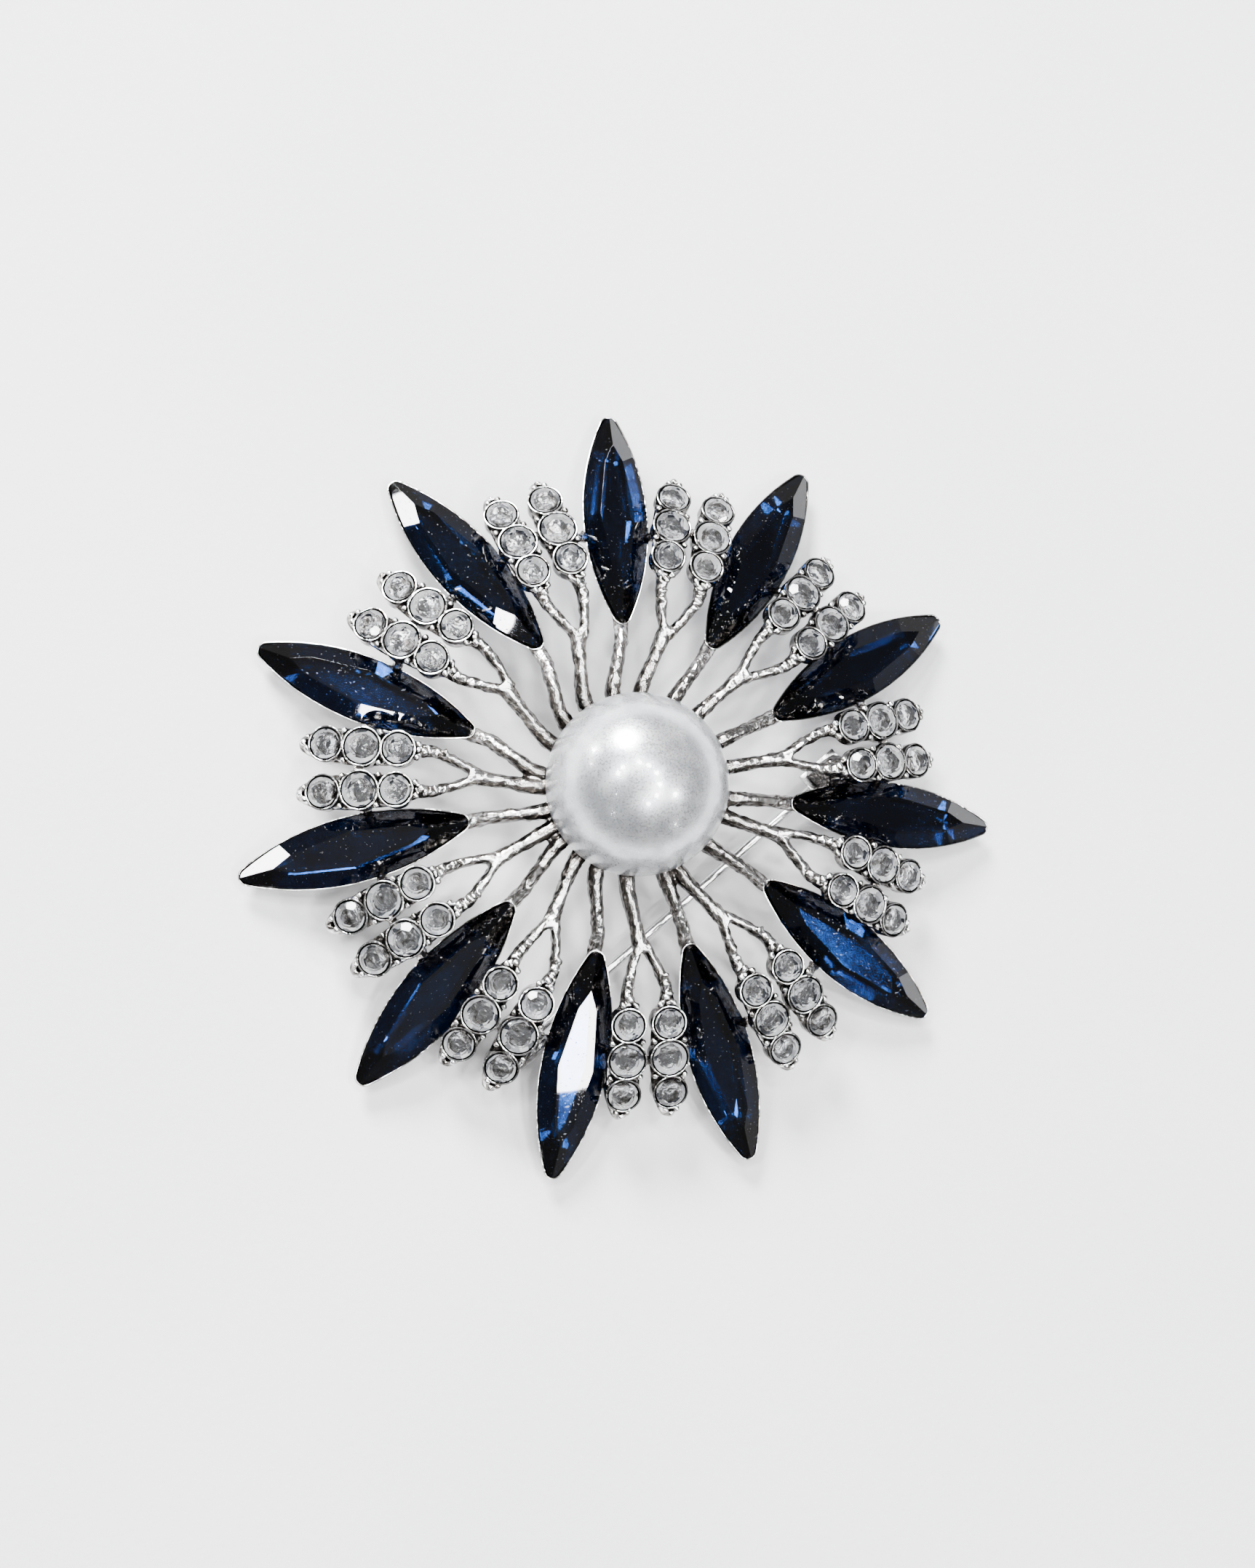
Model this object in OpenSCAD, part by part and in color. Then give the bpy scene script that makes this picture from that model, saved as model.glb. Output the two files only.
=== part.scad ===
// Sunburst flower brooch, 52 mm across: a cast frame of twig-like spokes, long
// navette stones and rows of round stones about a half pearl, with a pin behind.
// Millimetres, +Z towards the front, origin at the middle of the hub's back face.
// Angles round the flower are clockwise from +Y, seen from the front.

/* [Pearl] */
// Diameter of the half pearl
pearl_d = 12; // [11:0.5:12.5]
// Height of the pearl's widest circle above its flat back
pearl_skirt = 0.4; // [0.2:0.1:0.6]

/* [Long stones] */
// Length of a navette stone
navette_l = 15.2; // [14.4:0.2:15.4]
// Width of a navette stone
navette_w = 4.2; // [3.6:0.2:4.2]
// Crown height above the girdle
crown_h = 0.8; // [0.6:0.1:1]
// Distance from the flower's axis to the middle of a navette
navette_r = 18.5; // [18.3:0.1:18.8]
// Height of a navette's middle below the forks
navette_drop = 3.8; // [3.4:0.2:4]
// How far a navette slopes down towards its outer tip, degrees
navette_slope = 15; // [12:1:17]

/* [Round stones] */
// Diameters of the inner, middle and outer round stone of a row
round_d = [1.9, 2.2, 1.95];
// Distance of the innermost round stone from the flower's axis
row_r = 15.6; // [15.2:0.1:15.8]
// Distance from one round stone to the next
row_pitch = 2.25; // [2.2:0.05:2.4]
// Angle of the rows to either side of their fork's line
row_half_angle = [4.9, 4.55, 4.5];

/* [Casting] */
// Radius of the hub behind the pearl
hub_r = 5.2; // [4.8:0.1:5.6]
// Thickness of the hub
hub_t = 2; // [1.8:0.1:2.4]
// Width of a spoke
spoke_w = 0.8; // [0.6:0.1:1]
// Depth of a spoke at the hub
spoke_t = 1.7; // [1.4:0.1:1.9]
// Distance from the axis to the point where a spoke forks
fork_r = 10.6; // [10.2:0.1:11]
// Metal round a stone at its rim
rim = 0.22; // [0.18:0.02:0.24]
// Depth of a navette's cup below its girdle
cup_t = 1.6; // [1.5:0.1:1.8]
// Depth of a row of round seats
row_t = 1.4; // [1.3:0.1:1.6]

/* [Pin and catch] */
// Diameter of the pin wire
wire_d = 0.66; // [0.6:0.02:0.7]
// Direction the pin runs in, clockwise from +Y, degrees
pin_heading = 53; // [50:1:56]
// Distance from the flower's axis to the pin
pin_offset = 8.35; // [8.2:0.05:8.5]
// Depth of the pin behind the hub's back
pin_depth = 3.45; // [3.4:0.05:3.55]
// Hinge position along the pin's line
hinge_at = 11.5; // [11.2:0.1:11.8]
// Catch position along the pin's line
catch_at = -16.2; // [-16.3:0.1:-16.1]
// Running clearance of the rivet and of the lock
fit_gap = 0.05; // [0.03:0.01:0.08]

/* [Hidden] */
$fn = 48;
petals = 11;
pitch = 360 / petals;
// Every arm was bent a little by hand: degrees away from an even spacing.
tip_bend = [2.5, 1.5, -0.5, 0, -2, 0.5, -2, -3, -1, 0.5, 0];
root_bend = [1.5, 1, 1.5, 0, -2.5, 0, -0.5, 0.5, 0, -2, 3.5];
fork_bend = [0, -0.5, 1, -3, 2, 1.5, 2.5, 0, -1.5, 0, 0.5];
row_bend = [1.5, 1, 1, 0, 0.5, 0.5, 0.5, -1, -1, -0.5, 0];
// How far a spoke's foot trails its outer end: single spokes, then forked ones.
single_lean = [-10, -5, -1, 2, 3, 1, 12, 7, -4, -12, -14];
forked_lean = [-8, -3, -1, 0, 7, 7, 7, 1, -4, -10, -11];

top_z = hub_t;
cup_l = navette_l + 0.5;
cup_w = navette_w + 2 * rim - 0.2;
girdle = 0.12;
keel = cup_t - 0.4;
glue = 0.03;
row_z = 0.0345;
spoke_foot = 4.6;
pivot_z = -pin_depth;
eye_r = 0.75;
rivet_r = 0.32;
plate_t = 0.4;
plate_top = -2.26;
ear_t = 0.42;
ear_gap = 0.55;
catch_r = 1.25;
catch_l = 2.2;
sleeve_r = 0.88;
sleeve_bore = 0.55;
slot_w = 0.98;
stem_end = 28.8;
neck_end = 1.6;
point_l = 2.4;
taper_l = 2.5;

function polar(r, a, z) = [r * sin(a), r * cos(a), z];
function row_height(r) = top_z - row_z * pow(r - fork_r, 2);
function row_slope(r) = atan(1.5 * row_z * (r - fork_r));
function round_r(k) = row_r + k * row_pitch;
function fork_angle(i) = (i + 0.5) * pitch;
// Support of the navette outline in direction a from its width, for tangent cuts.
function half_width(t, w) = w / 2 * pow(sin(t), 1.6);
function reach(a, l, w) =
  max([for (t = [0:2:180]) half_width(t, w) * abs(cos(a)) + l / 2 * cos(t) * sin(a)]);

// Long pointed oval with slightly rounded tips, a corner at every step degrees.
module navette_outline(l, w, step) {
  side = [for (t = [0:step:180]) [half_width(t, w), l / 2 * cos(t)]];
  other = [for (t = [180 - step:-step:step]) [-half_width(t, w), l / 2 * cos(t)]];
  polygon(concat(side, other));
}

// Removes all above a plane that starts at the girdle and leans in by lean degrees.
module facet(a, lean, l, w, z) {
  rotate([0, 0, a])
    translate([reach(a, l, w), 0, z])
      rotate([0, -lean, 0])
        translate([0, -15, -4])
          cube([8, 30, 12]);
}

module navette_stone() {
  crown = [[8, 52], [172, 52], [188, 52], [352, 52]];
  ends = [[24, 60], [156, 60], [204, 60], [336, 60], [90, 66], [270, 66]];
  difference() {
    translate([0, 0, -keel])
      linear_extrude(keel + crown_h)
        navette_outline(navette_l, navette_w, 18);
    for (f = concat(crown, ends))
      facet(f[0], f[1], navette_l, navette_w, girdle);
    for (a = [8, 172, 188, 352, 26, 154, 206, 334, 90, 270])
      mirror([0, 0, 1])
        facet(a, 50, navette_l, navette_w, 0);
  }
}

// Girdle plane of navette i: +Y towards its outer tip, +Z out of its table.
module at_navette(i) {
  root = polar(navette_r - 7.3, i * pitch + root_bend[i], 0);
  tip = polar(navette_r + 7.3, i * pitch + tip_bend[i], 0);
  mid = (root + tip) / 2;
  translate([mid[0], mid[1], top_z - navette_drop])
    rotate([0, 0, -atan2(tip[0] - root[0], tip[1] - root[1])])
      rotate([-navette_slope, 0, 0])
        children();
}

module navette(i) {
  color("#0c1734")
    at_navette(i)
      navette_stone();
}

// Seat plane of round stone k in the row on side s of fork i.
module at_round(i, s, k) {
  r = round_r(k);
  a = fork_angle(i) + row_bend[i] + s * row_half_angle[k];
  translate(polar(r, a, row_height(r)))
    rotate([0, 0, -a])
      rotate([-row_slope(r), 0, 0])
        children();
}

module round_stone(d) {
  translate([0, 0, -0.5])
    cylinder(h = 0.6, d1 = 0.4 * d, d2 = d, $fn = 8);
  translate([0, 0, 0.1])
    cylinder(h = 0.1, d = d);
  translate([0, 0, 0.2])
    cylinder(h = 0.36, d1 = d, d2 = 0.56 * d, $fn = 8);
}

module round_stones(i) {
  color("#eef1f5")
    for (s = [-1, 1], k = [0:2])
      at_round(i, s, k)
        round_stone(round_d[k]);
}

module pearl() {
  color("#f2f2f0")
    difference() {
      translate([0, 0, top_z + pearl_skirt])
        sphere(d = pearl_d);
      translate([0, 0, top_z - 10])
        cube(20, center = true);
    }
}

// One length of twig between stations [point, heading, width, depth].
module twig(stations) {
  profile = [[0, 0], [0.5, -0.4], [0.25, -1], [-0.25, -1], [-0.5, -0.4]];
  n = len(profile);
  last = len(stations) - 1;
  points = [
    for (s = stations, p = profile)
      s[0] + [p[0] * s[2] * cos(s[1]), -p[0] * s[2] * sin(s[1]), p[1] * s[3]]
  ];
  sides = [
    for (k = [0:last - 1], j = [0:n - 1])
      [k * n + j, (k + 1) * n + j, (k + 1) * n + (j + 1) % n, k * n + (j + 1) % n]
  ];
  root = [for (j = [0:n - 1]) j];
  tip = [for (j = [n - 1:-1:0]) last * n + j];
  polyhedron(points, concat(sides, [root, tip]));
}

function along(r, z, a, w, t) = [polar(r, a, z), a, w, t];

// Spoke that carries navette i, from under the pearl to the cup's inner tip.
module single_spoke(i) {
  a = i * pitch + root_bend[i];
  b = single_lean[i];
  twig([
    along(spoke_foot, top_z - 0.06, a + 1.25 * b, spoke_w, spoke_t),
    along(6.5, top_z - 0.1, a + 0.95 * b, 0.9 * spoke_w, spoke_t),
    along(8.2, top_z - 0.4, a + 0.45 * b, 0.85 * spoke_w, 0.85 * spoke_t),
    along(9.8, top_z - 1.05, a + 0.1 * b, spoke_w, 0.75 * spoke_t),
    along(12, top_z - 2.35, a, 1.2 * spoke_w, 0.55 * spoke_t)
  ]);
}

// Spoke that forks into the two arms of a pair of rows.
module forked_spoke(i) {
  a = fork_angle(i) + fork_bend[i];
  b = forked_lean[i];
  c = fork_angle(i) + row_bend[i];
  twig([
    along(spoke_foot, top_z - 0.06, a + 1.25 * b, spoke_w, spoke_t),
    along(6.5, top_z - 0.05, a + 0.95 * b, 0.9 * spoke_w, spoke_t),
    along(8.6, top_z, a + 0.4 * b, 0.85 * spoke_w, 0.9 * spoke_t),
    along(fork_r + 0.3, top_z, a, 1.3 * spoke_w, 0.8 * spoke_t)
  ]);
  for (s = [-1, 1])
    twig([
      along(fork_r - 0.3, top_z, a + s, 0.7 * spoke_w, 0.8 * spoke_t),
      along(fork_r + 1.1, top_z, (a + c) / 2 + 3.8 * s, 0.7 * spoke_w, 0.75 * spoke_t),
      along(fork_r + 2.6, row_height(13.2), c + 5.6 * s, 0.85 * spoke_w, 0.75 * spoke_t),
      along(row_r - 0.8, row_height(14.8), c + 5.2 * s, 1.4 * spoke_w, 0.75 * spoke_t)
    ]);
}

// Leaf-shaped row of three round seats with a pointed nose.
module seat_row(i, s) {
  d = [for (x = round_d) x + 2 * rim];
  hull() {
    at_round(i, s, 0)
      translate([0, -1.6, -row_t])
        cylinder(h = row_t, d = 0.9, $fn = 6);
    for (k = [0:2])
      at_round(i, s, k)
        translate([0, 0, -row_t])
          cylinder(h = row_t + 0.08, d1 = 0.8 * d[k], d2 = d[k], $fn = 8);
    at_round(i, s, 2)
      translate([0, 1.75, -row_t])
        cylinder(h = row_t - 0.5, d = 0.6, $fn = 6);
  }
}

// Short bars that tie a row to its twin and to the cup beside it.
module ties(i, s) {
  hull() {
    at_round(i, s, 1)
      translate([s, -0.3, -1])
        cube(0.5, center = true);
    at_navette((i + (s + 1) / 2) % petals)
      translate([-1.7 * s, -1.3, -0.6])
        cube(0.5, center = true);
  }
  hull()
    for (side = [-1, 1])
      at_round(i, side, 1)
        translate([-side, 0.2, -0.7])
          cube(0.6, center = true);
}

module cup(i) {
  at_navette(i)
    hull() {
      translate([0, 0, -0.3])
        linear_extrude(0.25)
          navette_outline(cup_l, cup_w, 30);
      translate([0, 0, -cup_t])
        linear_extrude(0.1)
          navette_outline(cup_l - 2.2, cup_w - 1.8, 45);
    }
}

module cup_pocket(i) {
  at_navette(i)
    hull() {
      translate([0, 0, -0.25])
        linear_extrude(crown_h + 0.6)
          navette_outline(navette_l + 2 * glue, navette_w + 2 * glue, 18);
      translate([0, 0, -keel - glue])
        linear_extrude(0.1)
          navette_outline(navette_l - 1.5, navette_w - 1.5, 45);
    }
}

// Local frame on the pin's line: +X towards the hinge, +Y towards the flower's axis.
module on_pin(x, z) {
  rotate([0, 0, 90 - pin_heading])
    translate([x, -pin_offset, z])
      children();
}

// Blocks of the casting that the hinge and the catch are soldered to.
module pads() {
  hull() {
    on_pin(hinge_at, plate_top + 0.32)
      cube([2.4, 2.2, 0.6], center = true);
    at_round(2, 1, 0)
      translate([0, -0.9, -1.1])
        cube([1.3, 2.2, 0.5], center = true);
  }
  hull() {
    on_pin(catch_at, plate_top + 0.62)
      cube([2, 1.8, 0.5], center = true);
    at_round(6, -1, 1)
      translate([0, 0, -1.1])
        cube([1.6, 2.2, 0.5], center = true);
  }
}

// Flat filed on the back of the casting, where the catch's plate is soldered.
module catch_notch() {
  on_pin(catch_at, plate_top)
    translate([-catch_l / 2 - glue, -0.8 - glue, -0.5])
      cube([catch_l + 2 * glue, 2 + 2 * glue, 0.84]);
}

module cast_frame() {
  color("#b9bcc2")
    difference() {
      union() {
        cylinder(h = hub_t - glue, r = hub_r, $fn = 22);
        for (i = [0:petals - 1]) {
          single_spoke(i);
          forked_spoke(i);
          cup(i);
          for (s = [-1, 1]) {
            seat_row(i, s);
            ties(i, s);
          }
        }
        pads();
      }
      catch_notch();
      for (i = [0:petals - 1]) {
        cup_pocket(i);
        for (s = [-1, 1], k = [0:2])
          at_round(i, s, k)
            translate([0, 0, -0.6 - glue])
              cylinder(h = 2, d = round_d[k] + 2 * glue, $fn = 8);
      }
    }
}

module hinge_bracket() {
  color("#a9adb4")
    difference() {
      union() {
        on_pin(hinge_at, plate_top - plate_t / 2)
          cube([3, 2.6, plate_t], center = true);
        for (s = [-1, 1])
          on_pin(hinge_at, pivot_z)
            translate([0, s * (ear_gap + ear_t / 2), 0]) {
              rotate([90, 0, 0])
                cylinder(h = ear_t, r = 0.85, center = true);
              translate([-0.85, -ear_t / 2, 0])
                cube([1.7, ear_t, plate_top - plate_t / 2 - pivot_z]);
            }
      }
      on_pin(hinge_at, pivot_z)
        rotate([90, 0, 0])
          cylinder(h = 4, r = rivet_r + 0.01, center = true);
    }
}

module hinge_rivet() {
  shank = 2 * (ear_gap + ear_t) + 0.04;
  color("#9a9ea6")
    on_pin(hinge_at, pivot_z) {
      rotate([90, 0, 0])
        cylinder(h = shank + 0.4, r = rivet_r, center = true);
      for (s = [-1, 1])
        translate([0, s * (shank / 2 + 0.12), 0])
          rotate([90, 0, 0])
            cylinder(h = 0.24, r = 0.52, center = true);
    }
}

// Straight spring wire with a pierced eye at the hinge and a long ground point.
module pin_stem() {
  color("#d4d6da")
    on_pin(hinge_at, pivot_z) {
      difference() {
        rotate([90, 0, 0])
          cylinder(h = 0.9, r = eye_r, center = true);
        rotate([90, 0, 0])
          cylinder(h = 2, r = rivet_r + fit_gap, center = true);
      }
      translate([-0.5, 0, 0])
        rotate([0, -90, 0])
          cylinder(h = neck_end - 0.5, d1 = 0.84, d2 = wire_d);
      translate([-neck_end, 0, 0])
        rotate([0, -90, 0])
          cylinder(h = stem_end - point_l - taper_l - neck_end, d = wire_d);
      translate([point_l + taper_l - stem_end, 0, 0])
        rotate([0, -90, 0])
          cylinder(h = taper_l, d1 = wire_d, d2 = 0.56);
      translate([point_l - stem_end, 0, 0])
        rotate([0, -90, 0])
          cylinder(h = point_l, d1 = 0.56, d2 = 0.08);
    }
}

// Open housing of the catch, with the way in for the pin facing the back.
module catch_body() {
  color("#a9adb4")
    on_pin(catch_at, pivot_z) {
      difference() {
        union() {
          rotate([0, 90, 0])
            cylinder(h = catch_l, r = catch_r, center = true);
          translate([-catch_l / 2, -0.8, 0])
            cube([catch_l, 1.6, catch_r + 0.2]);
        }
        rotate([0, 90, 0])
          cylinder(h = 4, r = sleeve_r + fit_gap, center = true);
        translate([-2, -slot_w / 2, -3])
          cube([4, slot_w, 3]);
      }
      translate([-catch_l / 2, -0.8, plate_top + 0.32 - pivot_z - plate_t])
        cube([catch_l, 2, plate_t]);
    }
}

// Roll-over lock: a slotted sleeve turned by its thumb tab.
module catch_sleeve() {
  long = catch_l + 0.16;
  color("#c4c7cc")
    on_pin(catch_at, pivot_z)
      difference() {
        union() {
          rotate([0, 90, 0])
            cylinder(h = long + 0.4, r = sleeve_r, center = true);
          translate([-long / 2 - 0.3, 0, 0])
            rotate([0, 90, 0])
              cylinder(h = 0.3, r = 1.08);
          translate([long / 2, 0, 0])
            rotate([0, 90, 0])
              cylinder(h = 0.45, r = 1.15);
          translate([long / 2, 0, 0])
            rotate([45, 0, 0]) {
              translate([0, 0.7, -0.4])
                cube([0.45, 1.1, 0.8]);
              translate([0, 1.8, 0])
                rotate([0, 90, 0])
                  cylinder(h = 0.45, r = 0.4);
            }
        }
        rotate([0, 90, 0])
          cylinder(h = 6, r = sleeve_bore, center = true);
        translate([-3, -slot_w / 2, -3])
          cube([6, slot_w, 3]);
      }
}

cast_frame();
pearl();
navette(0);  // navette_01
navette(1);  // navette_02
navette(2);  // navette_03
navette(3);  // navette_04
navette(4);  // navette_05
navette(5);  // navette_06
navette(6);  // navette_07
navette(7);  // navette_08
navette(8);  // navette_09
navette(9);  // navette_10
navette(10);  // navette_11
round_stones(0);  // round_stones_01
round_stones(1);  // round_stones_02
round_stones(2);  // round_stones_03
round_stones(3);  // round_stones_04
round_stones(4);  // round_stones_05
round_stones(5);  // round_stones_06
round_stones(6);  // round_stones_07
round_stones(7);  // round_stones_08
round_stones(8);  // round_stones_09
round_stones(9);  // round_stones_10
round_stones(10);  // round_stones_11
hinge_bracket();
hinge_rivet();
pin_stem();
catch_body();
catch_sleeve();
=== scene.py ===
import bpy
import math
from mathutils import Matrix, Vector


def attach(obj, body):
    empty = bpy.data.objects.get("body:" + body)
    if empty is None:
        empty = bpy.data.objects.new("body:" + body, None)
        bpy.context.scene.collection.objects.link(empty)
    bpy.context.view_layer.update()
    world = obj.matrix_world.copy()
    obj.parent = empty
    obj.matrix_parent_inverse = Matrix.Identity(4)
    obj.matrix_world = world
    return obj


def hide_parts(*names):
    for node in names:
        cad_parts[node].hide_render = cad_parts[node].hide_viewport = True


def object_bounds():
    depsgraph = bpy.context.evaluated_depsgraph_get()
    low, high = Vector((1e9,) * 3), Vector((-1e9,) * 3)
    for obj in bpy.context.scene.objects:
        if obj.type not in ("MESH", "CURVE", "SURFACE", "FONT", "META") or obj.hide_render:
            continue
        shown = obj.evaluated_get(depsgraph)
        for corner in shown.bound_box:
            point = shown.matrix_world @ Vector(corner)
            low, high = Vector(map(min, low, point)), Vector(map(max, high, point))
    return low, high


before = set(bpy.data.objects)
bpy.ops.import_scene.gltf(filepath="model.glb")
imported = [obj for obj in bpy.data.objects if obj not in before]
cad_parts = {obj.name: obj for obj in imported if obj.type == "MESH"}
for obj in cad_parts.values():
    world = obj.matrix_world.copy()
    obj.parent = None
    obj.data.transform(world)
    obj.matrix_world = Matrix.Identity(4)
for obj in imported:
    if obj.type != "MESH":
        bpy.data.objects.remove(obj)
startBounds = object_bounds()
print("frame loaded")

mm = 0.001

# where things sit: millimetres, degrees clockwise from +Y
flower = {
    "arms": 11,
    "tipBend": (2.5, 1.5, -0.5, 0, -2, 0.5, -2, -3, -1, 0.5, 0),
    "rootBend": (1.5, 1, 1.5, 0, -2.5, 0, -0.5, 0.5, 0, -2, 3.5),
    "forkBend": (0, -0.5, 1, -3, 2, 1.5, 2.5, 0, -1.5, 0, 0.5),
    "rowBend": (1.5, 1, 1, 0, 0.5, 0.5, 0.5, -1, -1, -0.5, 0),
    "singleLean": (-10, -5, -1, 2, 3, 1, 12, 7, -4, -12, -14),
    "forkedLean": (-8, -3, -1, 0, 7, 7, 7, 1, -4, -10, -11),
    "top": 2.0,            # height of the forks above the hub's back
    "forkR": 10.6,
    "stoneR": 18.5,        # middle of a long stone
    "stoneHalf": 7.3,      # from there to the points that set its heading
    "stoneDrop": 3.8,
    "stoneSlope": 15,
    "rowR": 15.6,
    "rowPitch": 2.25,
    "rowDroop": 0.0345,
    "rowTilt": 1.5,        # how far the seats lean with the droop, 2 being square to it
    "halfAngle": (4.9, 4.55, 4.5),    # of the three seats, inner first
}
pitch = 360 / flower["arms"]


def polar(r, angle, z=0.0):
    a = math.radians(angle)
    return Vector((r * math.sin(a), r * math.cos(a), z)) * mm


def turnZ(angle):
    return Matrix.Rotation(math.radians(-angle), 4, "Z")


def tipDown(angle):
    return Matrix.Rotation(math.radians(-angle), 4, "X")


def rowHeight(r):
    return flower["top"] - flower["rowDroop"] * (r - flower["forkR"]) ** 2


def rowSlope(r):
    return math.degrees(math.atan(flower["rowTilt"] * flower["rowDroop"] * (r - flower["forkR"])))


def stoneSeat(i):
    root = polar(flower["stoneR"] - flower["stoneHalf"], i * pitch + flower["rootBend"][i])
    tip = polar(flower["stoneR"] + flower["stoneHalf"], i * pitch + flower["tipBend"][i])
    middle = (root + tip) / 2
    middle.z = (flower["top"] - flower["stoneDrop"]) * mm
    along = tip - root
    heading = math.degrees(math.atan2(along.x, along.y))
    return Matrix.Translation(middle) @ turnZ(heading) @ tipDown(flower["stoneSlope"])


def forkTurn(i):
    return (i + 0.5) * pitch + flower["rowBend"][i]


# seat of round stone k in a fork's own frame, side is -1 or 1
def roundSeat(side, k):
    r = flower["rowR"] + k * flower["rowPitch"]
    angle = side * flower["halfAngle"][k]
    return Matrix.Translation(polar(r, angle, rowHeight(r))) @ turnZ(angle) @ tipDown(rowSlope(r))


# small modelling helpers
def clearSelection():
    if bpy.context.object and bpy.context.object.mode != "OBJECT":
        bpy.ops.object.mode_set(mode="OBJECT")
    bpy.ops.object.select_all(action="DESELECT")


def pick(ob):
    clearSelection()
    ob.select_set(True)
    bpy.context.view_layer.objects.active = ob


def named(name):
    ob = bpy.context.object
    ob.name = name
    ob.data.name = name
    return ob


def settle(ob):
    pick(ob)
    bpy.ops.object.transform_apply(location=True, rotation=True, scale=True)
    return ob


def addModifier(ob, kind, **settings):
    pick(ob)
    mod = ob.modifiers.new(kind.title(), kind)
    for key, value in settings.items():
        setattr(mod, key, value)
    bpy.ops.object.modifier_apply(modifier=mod.name)
    return ob


def place(ob, matrix):
    ob.data.transform(matrix)
    return ob


def copyPiece(ob, name):
    new = ob.copy()
    new.data = ob.data.copy()
    new.name = name
    new.data.name = name
    bpy.context.collection.objects.link(new)
    return new


def joinAll(pieces, name):
    clearSelection()
    for ob in pieces:
        ob.select_set(True)
    bpy.context.view_layer.objects.active = pieces[0]
    if len(pieces) > 1:
        bpy.ops.object.join()
    return named(name)


def outward(ob):
    pick(ob)
    bpy.ops.object.mode_set(mode="EDIT")
    bpy.ops.mesh.select_all(action="SELECT")
    bpy.ops.mesh.normals_make_consistent(inside=False)
    bpy.ops.object.mode_set(mode="OBJECT")
    return ob


def mirrored(ob, name):
    new = copyPiece(ob, name)
    new.data.transform(Matrix.Scale(-1, 4, (1, 0, 0)))
    return outward(new)


def remove(ob):
    bpy.data.objects.remove(ob, do_unlink=True)


# stations given as (radius, top, angle, width, depth) from the flower's axis
def spokeStations(points, step):
    finer = []
    for a, b in zip(points, points[1:]):
        count = max(1, round((b[0] - a[0]) / step))
        finer += [tuple(p + (q - p) * k / count for p, q in zip(a, b)) for k in range(count)]
    finer.append(points[-1])
    spots = [polar(r, angle) / mm for r, top, angle, width, depth in finer]
    out = []
    for k, (r, top, angle, width, depth) in enumerate(finer):
        along = spots[min(k + 1, len(spots) - 1)] - spots[max(k - 1, 0)]
        turn = math.degrees(math.atan2(along.x, along.y))
        out.append((spots[k].x, spots[k].y, top, width, depth, turn))
    return out


# a rod grown ring by ring: stations are (x, y, top, width, depth, turn)
def growRod(name, stations, corners=8):
    x, y, top, width, depth, turn = stations[0]
    clearSelection()
    bpy.ops.mesh.primitive_circle_add(vertices=corners, radius=0.5 * mm, fill_type="NGON",
                                      rotation=(math.radians(90), 0, 0))
    ob = settle(named(name))
    bpy.ops.object.mode_set(mode="EDIT")
    bpy.ops.mesh.select_all(action="SELECT")
    bpy.ops.transform.rotate(value=math.radians(180 / corners), orient_axis="Y", center_override=(0, 0, 0))
    bpy.ops.transform.rotate(value=math.radians(turn), orient_axis="Z", center_override=(0, 0, 0))
    bpy.ops.transform.resize(value=(width, width, depth), center_override=(0, 0, 0))
    centre = Vector((x, y, top - depth / 2)) * mm
    bpy.ops.transform.translate(value=centre)
    for x, y, top, newWidth, newDepth, newTurn in stations[1:]:
        bpy.ops.mesh.extrude_region_move()
        bpy.ops.transform.rotate(value=math.radians(newTurn - turn), orient_axis="Z", center_override=centre)
        wider, deeper = newWidth / width, newDepth / depth
        bpy.ops.transform.resize(value=(wider, wider, deeper), center_override=centre)
        spot = Vector((x, y, top - newDepth / 2)) * mm
        bpy.ops.transform.translate(value=spot - centre)
        centre, width, depth, turn = spot, newWidth, newDepth, newTurn
    bpy.ops.object.mode_set(mode="OBJECT")
    return outward(ob)


# puts an edit-mode selection on the faces or edges a test names
def selectWhere(ob, test, kind="FACE"):
    pick(ob)
    bpy.ops.object.mode_set(mode="EDIT")
    bpy.ops.mesh.select_mode(type=kind)
    bpy.ops.mesh.select_all(action="DESELECT")
    bpy.ops.object.mode_set(mode="OBJECT")
    if kind == "FACE":
        for f in ob.data.polygons:
            f.select = test(f.center / mm, f.normal)
    else:
        for e in ob.data.edges:
            a, b = (ob.data.vertices[v].co / mm for v in e.vertices)
            e.select = test(a, b)
    bpy.ops.object.mode_set(mode="EDIT")


def endEdit():
    bpy.ops.object.mode_set(mode="OBJECT")


def flatCut(ob, point, normal):
    pick(ob)
    bpy.ops.object.mode_set(mode="EDIT")
    bpy.ops.mesh.select_all(action="SELECT")
    bpy.ops.mesh.bisect(plane_co=point, plane_no=normal, use_fill=True, clear_outer=True, threshold=1e-7)
    bpy.ops.object.mode_set(mode="OBJECT")


def cylinder(name, radius, low, high, centre=(0, 0), corners=48):
    clearSelection()
    bpy.ops.mesh.primitive_cylinder_add(vertices=corners, radius=radius * mm, depth=(high - low) * mm,
                                        location=(centre[0] * mm, centre[1] * mm, (low + high) / 2 * mm))
    return settle(named(name))


def block(name, size, centre):
    clearSelection()
    bpy.ops.mesh.primitive_cube_add(size=mm, location=Vector(centre) * mm, scale=size)
    return settle(named(name))


def bead(name, radius, centre, stretch=(1, 1, 1)):
    clearSelection()
    bpy.ops.mesh.primitive_ico_sphere_add(subdivisions=2, radius=radius * mm,
                                          location=Vector(centre) * mm, scale=stretch)
    return settle(named(name))


def combine(ob, other, how):
    addModifier(ob, "BOOLEAN", operation=how, solver="EXACT", object=other)
    remove(other)
    return ob


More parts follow.
